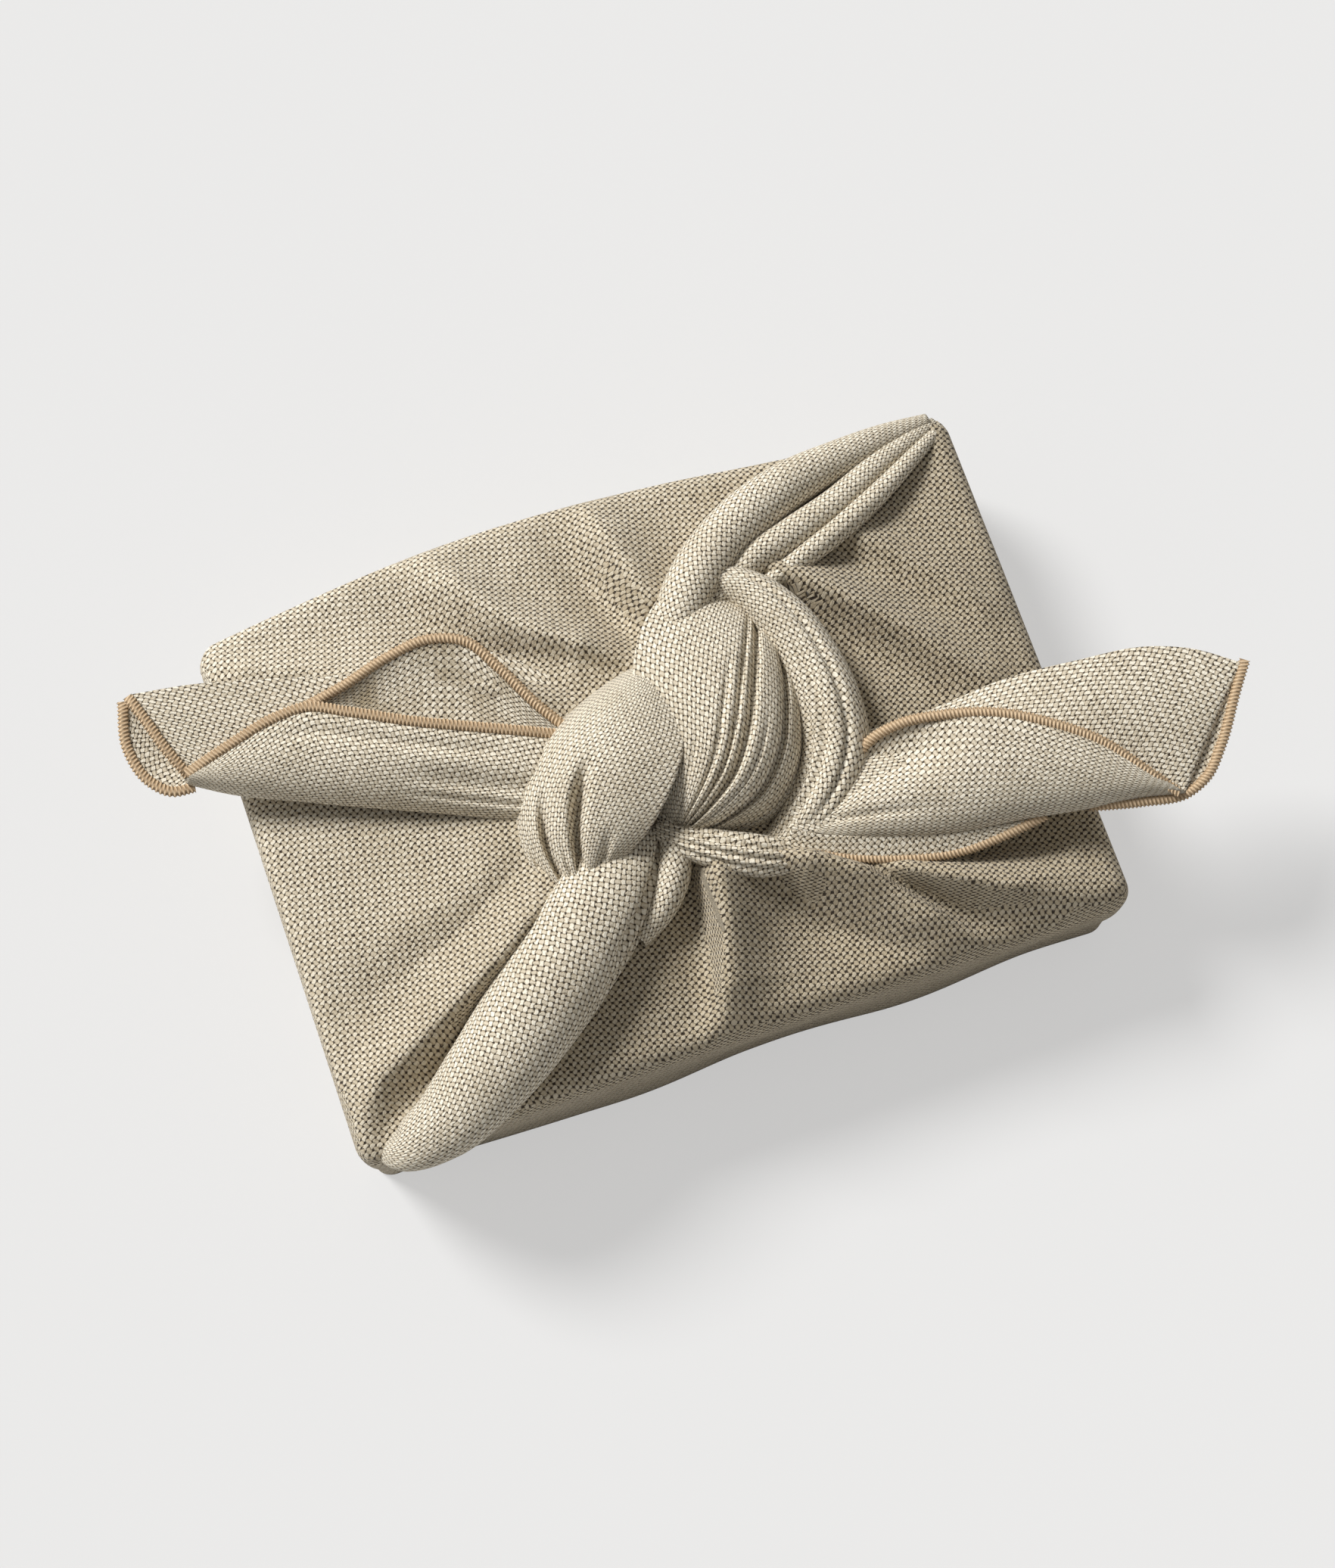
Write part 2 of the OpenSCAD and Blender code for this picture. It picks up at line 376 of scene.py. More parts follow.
skin = {
    "grid": (228, 155), "corner": 7.0, "edge": 6.5, "turn": -32, "wall": 0.7,
    "tent": 17.0, "tentLong": 150.0, "tentWide": 104.0, "tentAt": (5, 2),  # lifted by the knot
    "tentPower": 1.5, "foldPower": 1.6, "edgeFrom": 1, "edgeReach": 13, "edgePower": 0.7,
    "ripple": 0.5, "rippleSpan": 26, "sideRows": 12, "sideSag": 0.4, "sideSpan": 48, "sideRise": 40,
    "insets": (1.5, 14.0, 45.0, halfWidth - 8),  # rows of the underside, in from the edge
    "slackOut": 11.0, "slackX": -28.0, "slackReach": 124.8, "slackFrom": 14, "slackTop": 3,
    "slackDeep": 34, "slackEdge": 1, "slackPower": 1.3,  # slack: how the back stands out
    "foldStart": 0.4, "foldRise": 5, "foldEnd": 0.45, "foldFall": 1.6,
    "cut": (0.35, 0.44, 0.825), "restsOn": ["gift_box_lid", "gift_box_tray"], "finish": skinFinish,
}
folds = [  # points from the knot outwards, height, reach to the left and to the right
    ([(-38, -22), (-60, -38), (-80, -48), (-99, -57), (-112, -63), (-122, -73)], 14.0, 5.5, 12.0),
    ([(6, -26), (3, -50), (-3, -69), (-10, -88)], 14.0, 11.0, 5.5),
    ([(18, -36), (35, -44), (50, -55), (61, -67), (71, -80), (77, -89)], 17.0, 5.5, 9.0),
    ([(44, -46), (60, -56), (75, -64), (95, -74), (121, -87)], 16.0, 12.0, 5.5),
    ([(40, 56), (56, 46), (72, 31), (88, 14), (104, -6)], 12.0, 9.0, 6.0),
    ([(64, 66), (82, 52), (98, 36), (114, 18)], 6.0, 8.0, 6.0),
    ([(0, 34), (-18, 48), (-36, 64), (-50, 84)], 15.0, 10.0, 7.5),
    ([(-20, 28), (-52, 46), (-90, 62), (-121, 74)], 12.0, 10.0, 7.0),
    ([(16, 40), (11, 60), (4, 86)], 13.0, 6.5, 10.0),
    ([(-46, -8), (-80, -20), (-116, -22)], 4.0, 14.0, 12.0),
    ([(50, -6), (80, -30), (112, -50)], 4.0, 9.0, 8.0),
]
valleys = [  # the same for the creases between them
    ([(-3, -23), (-4, -36), (-5, -53), (-9, -69), (-17, -80)], 5.0, 5.0, 9.0),
    ([(17, -42), (25, -52), (33, -62), (47, -73), (60, -84)], 5.0, 5.0, 9.0),
    ([(50, -50), (56, -58), (64, -67), (72, -76), (79, -84)], 5.0, 5.0, 5.0),
    ([(12, 41), (5, 52), (-3, 67), (-11, 88)], 6.0, 6.0, 5.0),
    ([(-2, 32), (-22, 45), (-43, 57), (-59, 70), (-77, 82)], 6.0, 6.0, 6.0),
    ([(46, 47), (61, 28), (77, 10), (89, -5)], 4.0, 6.0, 6.0),
    ([(-50, -50), (-76, -62), (-96, -72), (-118, -84)], 4.0, 6.0, 6.0),
    ([(34, -36), (56, -46), (80, -54), (104, -56)], 9.0, 9.0, 5.0),
]


def awayFrom(points, x, y):
    # distance to a smooth line, which side a place lies on (-1 to 1) and how far along it
    line = curveThrough(points)
    parts = 12
    table = np.array([line(k / parts) for k in range(parts + 1)])
    best, side, share = np.full(x.shape, np.inf), np.zeros(x.shape), np.zeros(x.shape)
    for k, (a, b) in enumerate(zip(table[:-1], table[1:])):
        length = np.linalg.norm(b - a)
        run = (b - a) / length
        t = np.clip((x - a[0]) * run[0] + (y - a[1]) * run[1], 0, length)
        d = np.maximum(np.hypot(x - a[0] - t * run[0], y - a[1] - t * run[1]), 1e-6)
        near = d < best
        side = np.where(near, (run[0] * (y - a[1]) - run[1] * (x - a[0])) / d, side)
        share = np.where(near, (k + t / length) / parts, share)
        best = np.minimum(best, d)
    return best, np.clip(side, -1, 1), share


def alongFold(share):
    # a fold comes up quickly at the knot and dies away slowly towards the edge
    rising = skin["foldStart"] + (1 - skin["foldStart"]) * np.clip(share * skin["foldRise"], 0, 1)
    falling = skin["foldEnd"] + (1 - skin["foldEnd"]) * np.clip((1 - share) * skin["foldFall"], 0, 1)
    return rising * falling


def clothHeight(x, y):
    atX, atY = skin["tentAt"]
    slope = np.clip(1 - np.hypot((x - atX) / skin["tentLong"], (y - atY) / skin["tentWide"]), 0, 1)
    raised, sunk = np.zeros(x.shape), np.zeros(x.shape)
    for shape, lines in ((raised, folds), (sunk, valleys)):
        for points, tall, left, right in lines:
            away, side, share = awayFrom(points, x, y)
            reach = (left + right) / 2 + (left - right) / 2 * side
            profile = np.exp(-(away / reach) ** skin["foldPower"])
            np.maximum(shape, tall * alongFold(share) * profile, out=shape)
    return np.maximum(skin["tent"] * slope ** skin["tentPower"] + raised - sunk, 0)


def topOfSkin(bm):
    # the cloth on the lid: corners rounded in plan, the edge rolled over, folds in the middle
    hx, hy, r, edge = halfLength, halfWidth, skin["corner"], skin["edge"]
    bmesh.ops.create_grid(bm, x_segments=skin["grid"][0], y_segments=skin["grid"][1], size=0.5)
    verts = list(bm.verts)
    x = np.array([v.co.x for v in verts]) * 2 * hx
    y = np.array([v.co.y for v in verts]) * 2 * hy
    dx, dy = np.maximum(np.abs(x) - hx + r, 0), np.maximum(np.abs(y) - hy + r, 0)
    far = np.hypot(dx, dy)
    pull = np.where(far > 0, np.maximum(dx, dy) / np.maximum(far, 1e-9), 1)
    x = np.sign(x) * (np.minimum(np.abs(x), hx - r) + dx * pull)
    y = np.sign(y) * (np.minimum(np.abs(y), hy - r) + dy * pull)
    straight = np.minimum(hx - np.abs(x), hy - np.abs(y))
    inside = np.maximum(np.where((dx > 0) & (dy > 0), r - far * pull, straight), 0)
    turn = np.minimum(inside, edge)
    z = lidZ - edge + np.sqrt(np.maximum(edge**2 - (edge - turn)**2, 0))
    fromEdge = np.clip((inside - skin["edgeFrom"]) / skin["edgeReach"], 0, 1)
    z = z + clothHeight(x, y) * fromEdge ** skin["edgePower"]
    span = skin["rippleSpan"]
    z = z + skin["ripple"] * np.array([noise.noise(Vector((a / span, b / span, 3))) for a, b in zip(x, y)])
    for vert, a, b, c in zip(verts, x, y, z):
        vert.co = Vector((a, b, c)) * mm


def nextRow(bm, rim):
    made = bmesh.ops.extrude_edge_only(bm, edges=rim)["geom"]
    rim = [part for part in made if isinstance(part, bmesh.types.BMEdge)]
    return rim, {vert for edge in rim for vert in edge.verts}


def sidesOfSkin(bm, rim):
    top, rows, span = lidZ - skin["edge"], skin["sideRows"], skin["sideSpan"]
    for k in range(1, rows + 1):
        share = 1 - k / rows
        rim, row = nextRow(bm, rim)
        for vert in row:
            px, py = vert.co.x / mm, vert.co.y / mm
            spot = Vector((px / span, py / span, top * share / skin["sideRise"]))
            sag = skin["ripple"] * noise.noise(spot) - skin["sideSag"] * math.sin(math.pi * share)
            out = Vector(((px / halfLength) ** 9, (py / halfWidth) ** 9, 0))  # next to nothing off the face
            vert.co.z = top * share * mm
            vert.co += out * sag * mm * (1 - abs(2 * share - 1))
    return rim


def underSkin(bm, rim):
    for inset in skin["insets"]:
        rim, row = nextRow(bm, rim)
        for vert in row:
            vert.co.x = math.copysign(min(abs(vert.co.x), (halfLength - inset) * mm), vert.co.x)
            vert.co.y = math.copysign(min(abs(vert.co.y), (halfWidth - inset) * mm), vert.co.y)
            vert.co.z = 0
    bmesh.ops.contextual_create(bm, geom=rim)


def slackAtBack(bm):
    # the cloth stands out between the back corners
    for vert in bm.verts:
        px, py, pz = (c / mm for c in vert.co)
        if py > 0:
            band = smooth(pz, skin["slackFrom"], lidZ - skin["slackTop"])
            band *= smooth(py, halfWidth - skin["slackDeep"], halfWidth - skin["slackEdge"])
            away = min(abs(px - skin["slackX"]) / skin["slackReach"], 1)
            lean = max(0, math.cos(away * math.pi / 2)) ** skin["slackPower"]
            vert.co.y += skin["slackOut"] * band * lean * mm


def layThreads(bm, uv):
    # threads run straight over the lid and on down each side
    bm.normal_update()
    for face in bm.faces:
        face.smooth = True
        steep = abs(face.normal.z) < 0.5
        for loop in face.loops:
            x, y, z = loop.vert.co
            down = lidZ * mm - z
            if steep and abs(face.normal.y) > abs(face.normal.x):
                y += down if y > 0 else -down
            elif steep:
                x += down if x > 0 else -down
            loop[uv].uv = turned(x, y, skin["turn"])


def sortFaces(bm):
    # extruding leaves the faces in an order that changes from run to run
    bm.verts.index_update()
    count = len(bm.verts)

    def place(face):
        corners = [vert.index for vert in face.verts]
        return (min(corners) * count + max(corners)) * count + sum(corners) / len(corners)
    bm.faces.sort(key=place)


def wrapSkin():
    bm = bmesh.new()
    uv = bm.loops.layers.uv.new("weave")
    topOfSkin(bm)
    rim = sidesOfSkin(bm, [edge for edge in bm.edges if edge.is_boundary])
    underSkin(bm, rim)
    slackAtBack(bm)
    layThreads(bm, uv)
    bmesh.ops.remove_doubles(bm, verts=bm.verts, dist=weld)
    sortFaces(bm)
    bmesh.ops.recalc_face_normals(bm, faces=bm.faces)
    if bm.calc_volume(signed=True) < 0:  # inside out
        bmesh.ops.reverse_faces(bm, faces=bm.faces)
    piece = addObject("wrapSkin", bm)
    addWall(piece, skin["wall"])
    finishCloth(piece, skin)
    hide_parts("wrap_cloth", "back_slack_fold", "front_flap", "back_flap")


wrapSkin()
print("cloth over the box")

# Rolled corners. A station is x, y, height over the lid, half width and half height.
leftRoll = {
    "stations": [
        (-118, -80, -6, 3, 3), (-111, -83, 0, 7, 6), (-98, -81, 3, 10.5, 9), (-81, -72, 6, 13.5, 11.5),
        (-61, -58, 8, 15.5, 13.5), (-43, -44, 10, 16, 14), (-29, -32, 11, 15.5, 13), (-18, -20, 10, 13, 10),
        (-10, -10, 8, 9, 7),
    ],
    "pleats": [(0.70, 0.03, 0.22, 0.62, 1.3), (0.78, 0.025, 0.14, 0.5, 1.3), (0.25, 0.03, 0.10, 0.6, 1.3)],
    "grid": (130, 60), "turn": 20, "wrap": 150, "cut": (0.073, 0.140, 0.85), "restsOn": ["wrapSkin"],
}
leftEar = {
    "stations": [
        (-5, -12, 13, 3, 4), (-4, -22, 13, 4.4, 6), (-7, -32, 12, 5.2, 6.5), (-14, -41, 10, 4.6, 6),
        (-24, -48, 8, 3, 4),
    ],
    "grid": (60, 36), "turn": 40, "wrap": 150,
    "cut": (0.030, 0.045, 0.85), "restsOn": ["leftRoll", "wrapSkin"],
}
rollBack = {
    "stations": [
        (119, 83, -3, 2.5, 3), (103, 81, 1, 4.5, 4.5), (86, 78, 4, 6.2, 6.5), (68, 74, 7, 7.8, 8.5),
        (51, 67, 10, 8.8, 10), (37, 58, 13, 9.2, 11), (25, 47, 15, 8.8, 11), (16, 35, 15, 7.5, 10),
        (12, 24, 12, 6, 7),
    ],
    "pleats": [(0.3, 0.03, 0.10, 0.5, 1.3)],
    "grid": (120, 48), "turn": 35, "wrap": 150, "cut": (0.050, 0.125, 0.85), "restsOn": ["wrapSkin"],
}
rollFront = {
    "stations": [
        (121, 82, -4, 2, 2.5), (109, 77, 0.5, 3.2, 3.5), (97, 72, 3, 4.2, 4.8), (79, 63, 6, 5.4, 6.5),
        (62, 57, 9, 5.8, 7.5), (49, 53, 11, 5.4, 7.5), (40, 48, 12, 4.6, 7), (33, 43, 13, 3.5, 6),
    ],
    "grid": (100, 40), "turn": 50, "wrap": 150, "cut": (0.033, 0.097, 0.9), "restsOn": ["wrapSkin"],
}
rollEdge = {
    "stations": [
        (122, 80, -4, 1.8, 2.4), (110, 72, 2, 2.6, 3), (95, 63, 6, 3.4, 3.8), (79, 55, 9, 3.8, 4.6),
        (64, 49, 11, 3.6, 4.6), (50, 44, 12, 2.8, 4),
    ],
    "grid": (90, 26), "turn": 50, "wrap": 140, "cut": (0.016, 0.087, 0.9), "restsOn": ["wrapSkin"],
}


def bundlePiece(make, name, shape, *nodes):
    piece = finishCloth(make(name, shape), shape)
    if nodes:
        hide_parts(*nodes)


bundlePiece(rolledCloth, "leftRoll", leftRoll, "left_roll")
bundlePiece(rolledCloth, "leftEar", leftEar)
bundlePiece(rolledCloth, "rollBack", rollBack, "right_roll_outer")
bundlePiece(rolledCloth, "rollFront", rollFront, "right_roll_inner")
bundlePiece(rolledCloth, "rollEdge", rollEdge)
print("rolled corners")

# The knot. Its loops are cloth between a low and a high edge, each point x, y and height over the lid.
knotLeft = {
    "low": [
        (8, 31, 16), (-5, 31, 7), (-21, 27, 1), (-36, 20, -1), (-46, 9, -1), (-50, -4, 0), (-49, -16, 4),
        (-44, -27, 8), (-37, -31, 9),
    ],
    "high": [
        (9, 30, 20), (10, 20, 27), (9, 9, 32), (7, -1, 33), (1, -10, 32), (-6, -17, 29), (-13, -22, 25),
        (-20, -25, 21), (-26, -27, 17),
    ],
    "pleats": [
        (0.42, 0.034, 7.5, 0.56, 1.5), (0.62, 0.032, 9.0, 0.48, 1.5), (0.27, 0.040, 4.5, 0.66, 1.5),
        (0.12, 0.035, 2.6, 0.25, 1.3), (0.80, 0.030, 3.0, 0.72, 1.5), (0.52, 0.02, 2.0, 0.70, 1.5),
    ],
    "rise": 7, "crown": 0.55, "curl": 0.9, "grid": (120, 84), "turn": 10,
    "cut": (0.060, 0.105, 0.7), "restsOn": ["leftRoll", "wrapSkin"],
}
knotRight = {
    "low": [
        (51, 27, 3), (51, 12, 3), (48, -4, 3), (42, -17, 3), (31, -26, 3), (17, -28, 3), (5, -26, 4),
        (-2, -22, 6),
    ],
    "high": [
        (32, 57, 9), (18, 50, 19), (7, 39, 25), (0, 26, 28), (-3, 11, 27), (-5, -3, 23), (-6, -14, 16),
        (-5, -22, 9),
    ],
    "pleats": [
        (0.52, 0.022, 4.6, -0.3, 1.3), (0.58, 0.013, 2.8, 0.0, 1.3), (0.64, 0.012, 1.8, 0.25, 1.3),
        (0.33, 0.026, 5.0, -0.3, 1.3), (0.43, 0.012, 1.0, 0.35, 1.3), (0.74, 0.014, 0.8, 0.5, 1.3),
        (0.17, 0.022, 2.4, 0.2, 1.3),
    ],
    "rise": 15, "crown": 0.47, "curl": 0.80, "grid": (150, 120), "turn": 5,
    "cut": (0.075, 0.100, 0.75), "restsOn": ["wrapSkin", "rollBack"],
}
knotRim = {
    "stations": [
        (15, 46, 12, 2.5, 4), (26, 51, 12, 3.5, 6), (36, 49, 13, 5.4, 8), (44, 42, 14, 7.0, 10),
        (50, 31, 14, 8.6, 11.5), (53.5, 17, 14, 9.6, 12), (54.5, 2, 14, 10.4, 12), (52, -12, 13, 10.6, 11.5),
        (45, -23, 12, 10.0, 10.5), (36, -30, 11, 8.4, 9), (26, -34, 9, 6.0, 7), (16, -33, 7, 3, 4),
    ],
    "pleats": [(0.44, 0.02, 0.16, 0.1, 0.9), (0.57, 0.022, 0.20, 0.35, 1.1), (0.66, 0.02, 0.12, 0.5, 1.2)],
    "grid": (150, 64), "turn": 30, "wrap": 155,
    "cut": (0.060, 0.125, 0.80), "restsOn": ["wrapSkin", "knotRight"],
}
knotTuck = {
    "stations": [
        (-8, -18, 15, 3, 4), (-1, -25, 16, 5, 6), (9, -32, 16, 6.2, 7), (19, -37, 15, 6.5, 6.5),
        (27, -40, 13, 5, 5), (33, -43, 10, 3, 3),
    ],
    "pleats": [
        (0.36, 0.03, 0.24, -0.2, 1.3), (0.46, 0.03, 0.28, -0.2, 1.3), (0.57, 0.03, 0.26, -0.2, 1.3),
        (0.67, 0.03, 0.18, -0.2, 1.3),
    ],
    "grid": (80, 64), "turn": 15, "wrap": 150, "cut": (0.034, 0.060, 0.85), "restsOn": ["wrapSkin"],
}
bundlePiece(spannedCloth, "knotLeft", knotLeft, "knot_left_loop")
bundlePiece(spannedCloth, "knotRight", knotRight, "knot_right_loop")
bundlePiece(rolledCloth, "knotRim", knotRim, "knot_rim_roll")
bundlePiece(rolledCloth, "knotTuck", knotTuck)
print("knot")

hem = {"wide": 1.6, "thick": 1.0, "inward": 0.7, "stitch": 1.2, "rib": 0.16, "slant": 0.35,
       "perStitch": 6, "round": 10, "girth": 6, "endRise": 12, "endThick": 0.05}


def hemAlong(name, body, points, inward):
    # an overlocked edge: a slim band round the cloth's edge, ribbed by its stitches
    line = curveThrough([(x, y, z + lidZ) for x, y, z in points])
    stitches = line.length / hem["stitch"]
    step = 0.004
    bm = bmesh.new()
    uv = bm.loops.layers.uv.new("weave")
    bmesh.ops.create_grid(bm, x_segments=int(stitches * hem["perStitch"]), y_segments=hem["round"], size=0.5)
    flat = {}
    for vert in bm.verts:
        u, v = vert.co.x + 0.5, vert.co.y + 0.5
        run = line(min(u + step, 1)) - line(max(u - step, 0))
        run /= np.linalg.norm(run)
        across = np.cross(run, (0, 0, 1))
        across /= max(np.linalg.norm(across), 1e-6)
        up = np.cross(across, run)
        angle = 2 * math.pi * v
        phase = u * stitches + hem["slant"] * math.sin(angle)
        rib = 1 + hem["rib"] * math.cos(2 * math.pi * phase)
        close = min(1, hem["endRise"] * min(u, 1 - u) + hem["endThick"])  # flattens towards both ends
        out = hem["wide"] * (inward * hem["inward"] + rib * math.cos(angle))
        over = hem["thick"] * rib * close * math.sin(angle)
        flat[vert] = (u * line.length * mm, v * hem["girth"] * mm)
        vert.co = Vector(line(u) + across * out + up * over) * mm
    for face in bm.faces:
        face.smooth = True
        for loop in face.loops:
            loop[uv].uv = flat[loop.vert]
    bmesh.ops.remove_doubles(bm, verts=bm.verts, dist=weld)
    bmesh.ops.recalc_face_normals(bm, faces=bm.faces)
    piece = addObject(name, bm)
    piece.data.materials.append(threadFinish)
    followBody(piece, body)
    return piece


def tailPiece(name, body, shape):
    hems = [hemAlong(hemName, body, points, inward) for hemName, points, inward in shape.get("hems", ())]
    return finishCloth(spannedCloth(name, shape), shape, body)


# Tails. A hem is its name, the edge it goes along and the side of the cloth: 1 or -1.
leftHem = [
    (-24, 16, 18), (-36, 21, 20), (-50, 27, 21), (-68, 35, 22), (-85, 44, 22), (-97, 50, 21), (-107, 50, 20),
    (-122, 47, 18), (-137, 44, 14),
]
leftFlapEdge = [
    (-97, 51, 18), (-84, 53, 19), (-68, 57, 20), (-55, 58, 21), (-45, 54, 21), (-38, 43, 20), (-31, 29, 19),
    (-24, 18, 18),
]
leftTipEdge = [(-136, 43, 8), (-143, 44, 8), (-148, 49, 8), (-151, 60, 9), (-148, 74, 11)]
leftEndEdge = [(-136, 46, 10), (-140, 56, 12), (-143, 66, 13), (-146, 75, 13)]
leftFold = [
    (-26, -10, 12), (-40, -4, 10), (-53, 2, 9), (-66, 8, 9), (-84, 16, 9), (-106, 26, 9), (-127, 36, 9),
    (-138, 43, 9),
]
leftTailFront = {
    "low": leftFold, "high": leftHem, "rise": 3, "curl": 0.8,
    "pleats": [(0.5, 0.12, 2.5, -0.3, 0.5), (0.82, 0.06, 1.5, 0.1, 0.8), (0.3, 0.05, 1.6, -0.3, 0.5)],
    "hems": [("leftHemFront", leftHem, 1)],
    "grid": (120, 50), "turn": 15, "cut": (0.036, 0.125, 0.75), "restsOn": ["wrapSkin"],
}
leftTailBack = {
    "low": leftFold,
    "high": [
        (-18, 34, 10), (-30, 46, 11), (-44, 56, 11), (-60, 60, 11), (-81, 60, 11), (-104, 66, 12),
        (-128, 72, 13), (-146, 75, 13),
    ],
    "rise": 2, "hems": [("leftHemEnd", leftEndEdge, -1)],
    "grid": (120, 50), "turn": -30, "cut": (0.044, 0.120, 0.85), "restsOn": ["wrapSkin"],
}
leftTailTip = {
    "low": leftTipEdge,
    "high": [(-130, 50, 6), (-132, 52, 6), (-135, 56, 6), (-138, 64, 7), (-141, 72, 9)],
    "hems": [("leftHemTip", leftTipEdge, -1)],
    "grid": (40, 16), "turn": 60, "cut": (0.014, 0.036, 0.75), "restsOn": ["wrapSkin"],
}
leftTailFlap = {
    "low": [(-99, 48, 17), (-85, 42, 16), (-68, 34, 16), (-47, 25, 16), (-34, 18, 16), (-24, 13, 16)],
    "high": leftFlapEdge,
    "rise": -2, "hems": [("leftHemFlap", leftFlapEdge, -1)], "finish": insideFinish,
    "grid": (80, 40), "turn": -50, "cut": (0.030, 0.085, 0.65), "restsOn": ["wrapSkin"],
}
leftFront = tailPiece("leftTailFront", "left_tail_body", leftTailFront)
tailPiece("leftTailBack", "left_tail_body", leftTailBack)
tailPiece("leftTailTip", "left_tail_body", leftTailTip)
tailPiece("leftTailFlap", "left_tail_body", leftTailFlap)
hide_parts("left_tail")
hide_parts("left_tail_hem")
print("left tail")

rightHem = [
    (46, -24, 12), (54, -18, 17), (62, -14, 21), (72, -13, 24), (85, -15, 25), (101, -20, 25), (115, -28, 24),
    (128, -38, 22), (138, -50, 19), (146, -60, 16),
]
rightEndEdge = [
    (118, -56, 13), (134, -60, 13), (148, -62, 13), (156, -59, 13), (164, -51, 14), (174, -37, 16),
    (180, -29, 17),
]
rightUnderEdge = [
    (26, -37, 15), (34, -42, 15), (44, -47, 14), (58, -52, 13), (76, -56, 12.5), (91, -56, 13.4),
    (105, -54.4, 13.7),
]
rightFold = [
    (30, -33, 19), (42, -39, 18), (56, -44, 17), (78, -50, 16), (101, -53, 14), (120, -56, 13),
    (135, -58, 13.5), (147, -61, 14),
]
rightTailFront = {
    "low": rightFold, "high": rightHem, "rise": 3, "curl": 0.8,
    "pleats": [(0.78, 0.16, 6.0, -0.3, 0.45), (0.35, 0.05, 1.4, -0.3, 0.4)],
    "hems": [("rightHemFront", rightHem, 1)],
    "grid": (120, 50), "turn": -40, "cut": (0.042, 0.120, 0.75), "restsOn": ["wrapSkin"],
}
rightTailBack = {
    "low": rightFold,
    "high": [
        (44, -6, 12), (56, -9, 13), (70, -11, 14), (86, -11, 16), (106, -10, 18), (130, -12, 19),
        (152, -15, 19), (165, -20, 18), (178, -29, 17),
    ],
    "rise": 5, "grid": (120, 50), "turn": 10, "cut": (0.044, 0.140, 0.85), "restsOn": ["wrapSkin"],
}
rightTailEnd = {
    "low": rightEndEdge,
    "high": [
        (120, -52, 12), (132, -53, 12.5), (142, -54, 13), (149, -50, 13.5), (156, -44, 14), (164, -34, 16),
        (170, -28, 17),
    ],
    "hems": [("rightHemEnd", rightEndEdge, -1)],
    "grid": (60, 16), "turn": 30, "cut": (0.012, 0.080, 0.8), "restsOn": ["wrapSkin"],
}
rightTailUnder = {
    "low": rightUnderEdge,
    "high": [
        (30, -33, 19), (37, -37, 18.4), (46, -40.5, 17.8), (60, -45, 16.8), (78, -50, 16), (91, -52, 14.9),
        (104, -53.4, 13.8),
    ],
    "hems": [("rightHemUnder", rightUnderEdge, -1)],
    "grid": (70, 16), "turn": 40, "cut": (0.010, 0.085, 0.8), "restsOn": ["wrapSkin"],
}
rightFront = tailPiece("rightTailFront", "right_tail_body", rightTailFront)
tailPiece("rightTailBack", "right_tail_body", rightTailBack)
tailPiece("rightTailEnd", "right_tail_body", rightTailEnd)
tailPiece("rightTailUnder", "right_tail_body", rightTailUnder)
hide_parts("right_tail")
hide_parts("right_tail_hem")
print("right tail")

for name in ("gift_box_tray", "gift_box_lid"):
    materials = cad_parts[name].data.materials
    materials.clear()
    materials.append(boardFinish)
print("box")

floor = {
    "size": 20, "pale": (0.80, 0.795, 0.785, 1), "deep": (0.76, 0.755, 0.745, 1), "grain": (3.0, 4.0),
    "glow": (0.83, 0.825, 0.82, 1), "glowShare": 0.6, "roughness": 0.9, "specular": 0.1,
}
light = {"world": 0.28, "key": 3.6, "keyAngle": 20, "keyHeight": 43, "keyLeft": 0.80, "keyBack": 0.60}
view = {"azimuth": -19.3, "elevation": 75.8, "distance": 0.940, "aim": (0.001, -0.003, 0.050), "lens": 70,
        "sensor": 36}


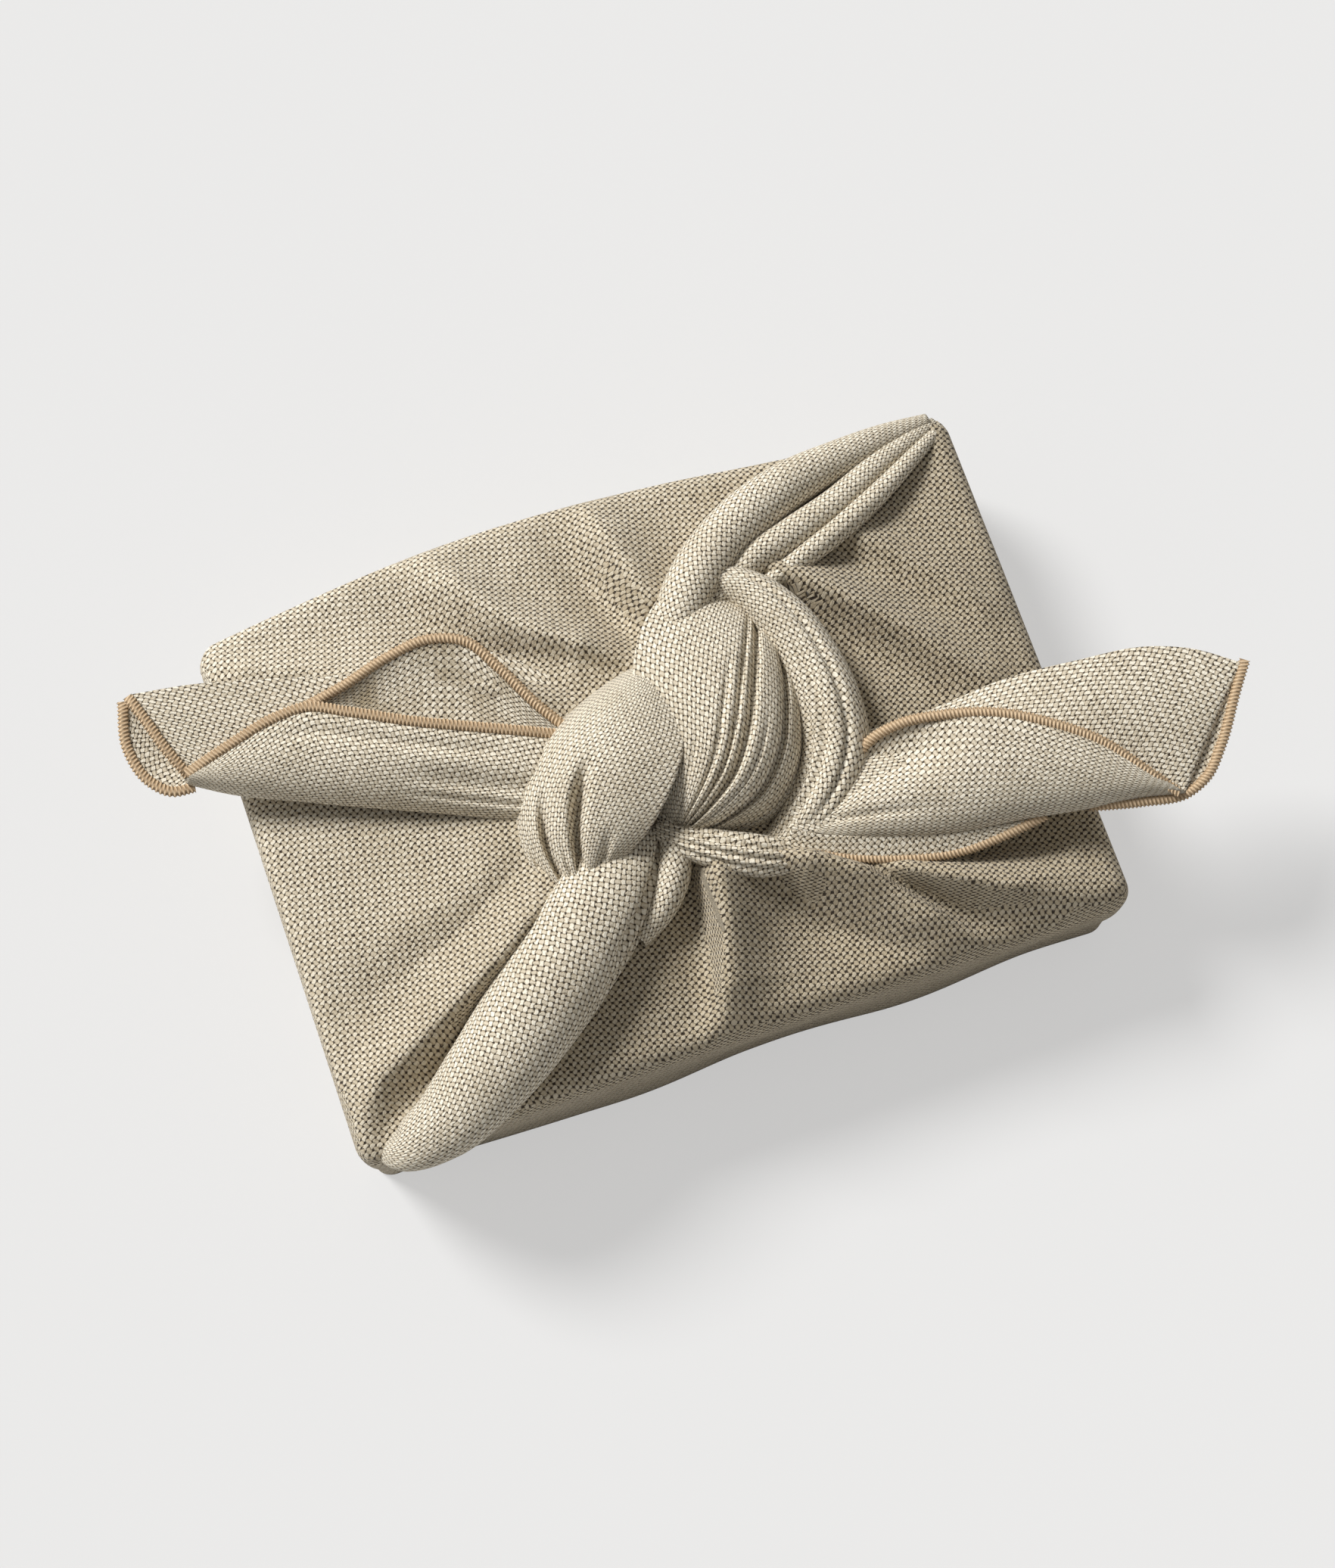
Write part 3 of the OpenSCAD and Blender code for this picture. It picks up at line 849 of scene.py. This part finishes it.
def floorMaterial(name):
    # the glow is for the camera alone, so it lights nothing
    s = Shader(name)
    grain = s.grain(s.node("ShaderNodeTexCoord").outputs["Object"], *floor["grain"])
    s.wire(s.mix(grain, floor["deep"], floor["pale"]), s.shader.inputs["Base Color"])
    s.shader.inputs["Roughness"].default_value = floor["roughness"]
    s.shader.inputs["Specular IOR Level"].default_value = floor["specular"]
    glow = s.node("ShaderNodeEmission")
    glow.inputs["Color"].default_value = floor["glow"]
    blend = s.node("ShaderNodeMixShader")
    toCamera = s.node("ShaderNodeLightPath").outputs["Is Camera Ray"]
    s.wire(s.times(toCamera, floor["glowShare"]), blend.inputs[0])
    s.wire(s.shader.outputs[0], blend.inputs[1])
    s.wire(glow.outputs[0], blend.inputs[2])
    s.wire(blend.outputs[0], s.tree.nodes["Material Output"].inputs[0])
    return s.material


bm = bmesh.new()
bmesh.ops.create_grid(bm, x_segments=1, y_segments=1, size=floor["size"])
ground = addObject("floor", bm)
ground.data.materials.append(floorMaterial("pale floor"))

world = bpy.data.worlds.new("studio")
scene.world = world
world.use_nodes = True
world.node_tree.nodes["Background"].inputs[0].default_value = (1, 1, 1, 1)
world.node_tree.nodes["Background"].inputs[1].default_value = light["world"]

az, el = math.radians(view["azimuth"]), math.radians(view["elevation"])
toCamera = Vector((math.sin(az) * math.cos(el), -math.cos(az) * math.cos(el), math.sin(el)))
camera = bpy.data.objects.new("camera", bpy.data.cameras.new("camera"))
camera.data.lens = view["lens"]
camera.data.sensor_width = view["sensor"]
camera.location = Vector(view["aim"]) + toCamera * view["distance"]
camera.rotation_euler = (-toCamera).to_track_quat("-Z", "Y").to_euler()
scene.collection.objects.link(camera)
scene.camera = camera

right = Vector((math.cos(az), math.sin(az), 0))
away = Vector((-math.sin(az), math.cos(az), 0))
keyHeight = math.radians(light["keyHeight"])
lightFrom = (-right * light["keyLeft"] + away * light["keyBack"]).normalized() * math.cos(keyHeight)
lightFrom.z = math.sin(keyHeight)
key = bpy.data.objects.new("key", bpy.data.lights.new("key", "SUN"))
key.data.energy = light["key"]
key.data.angle = math.radians(light["keyAngle"])
key.rotation_euler = lightFrom.to_track_quat("Z", "Y").to_euler()
scene.collection.objects.link(key)
scene.view_settings.view_transform = "Standard"
print("stage")
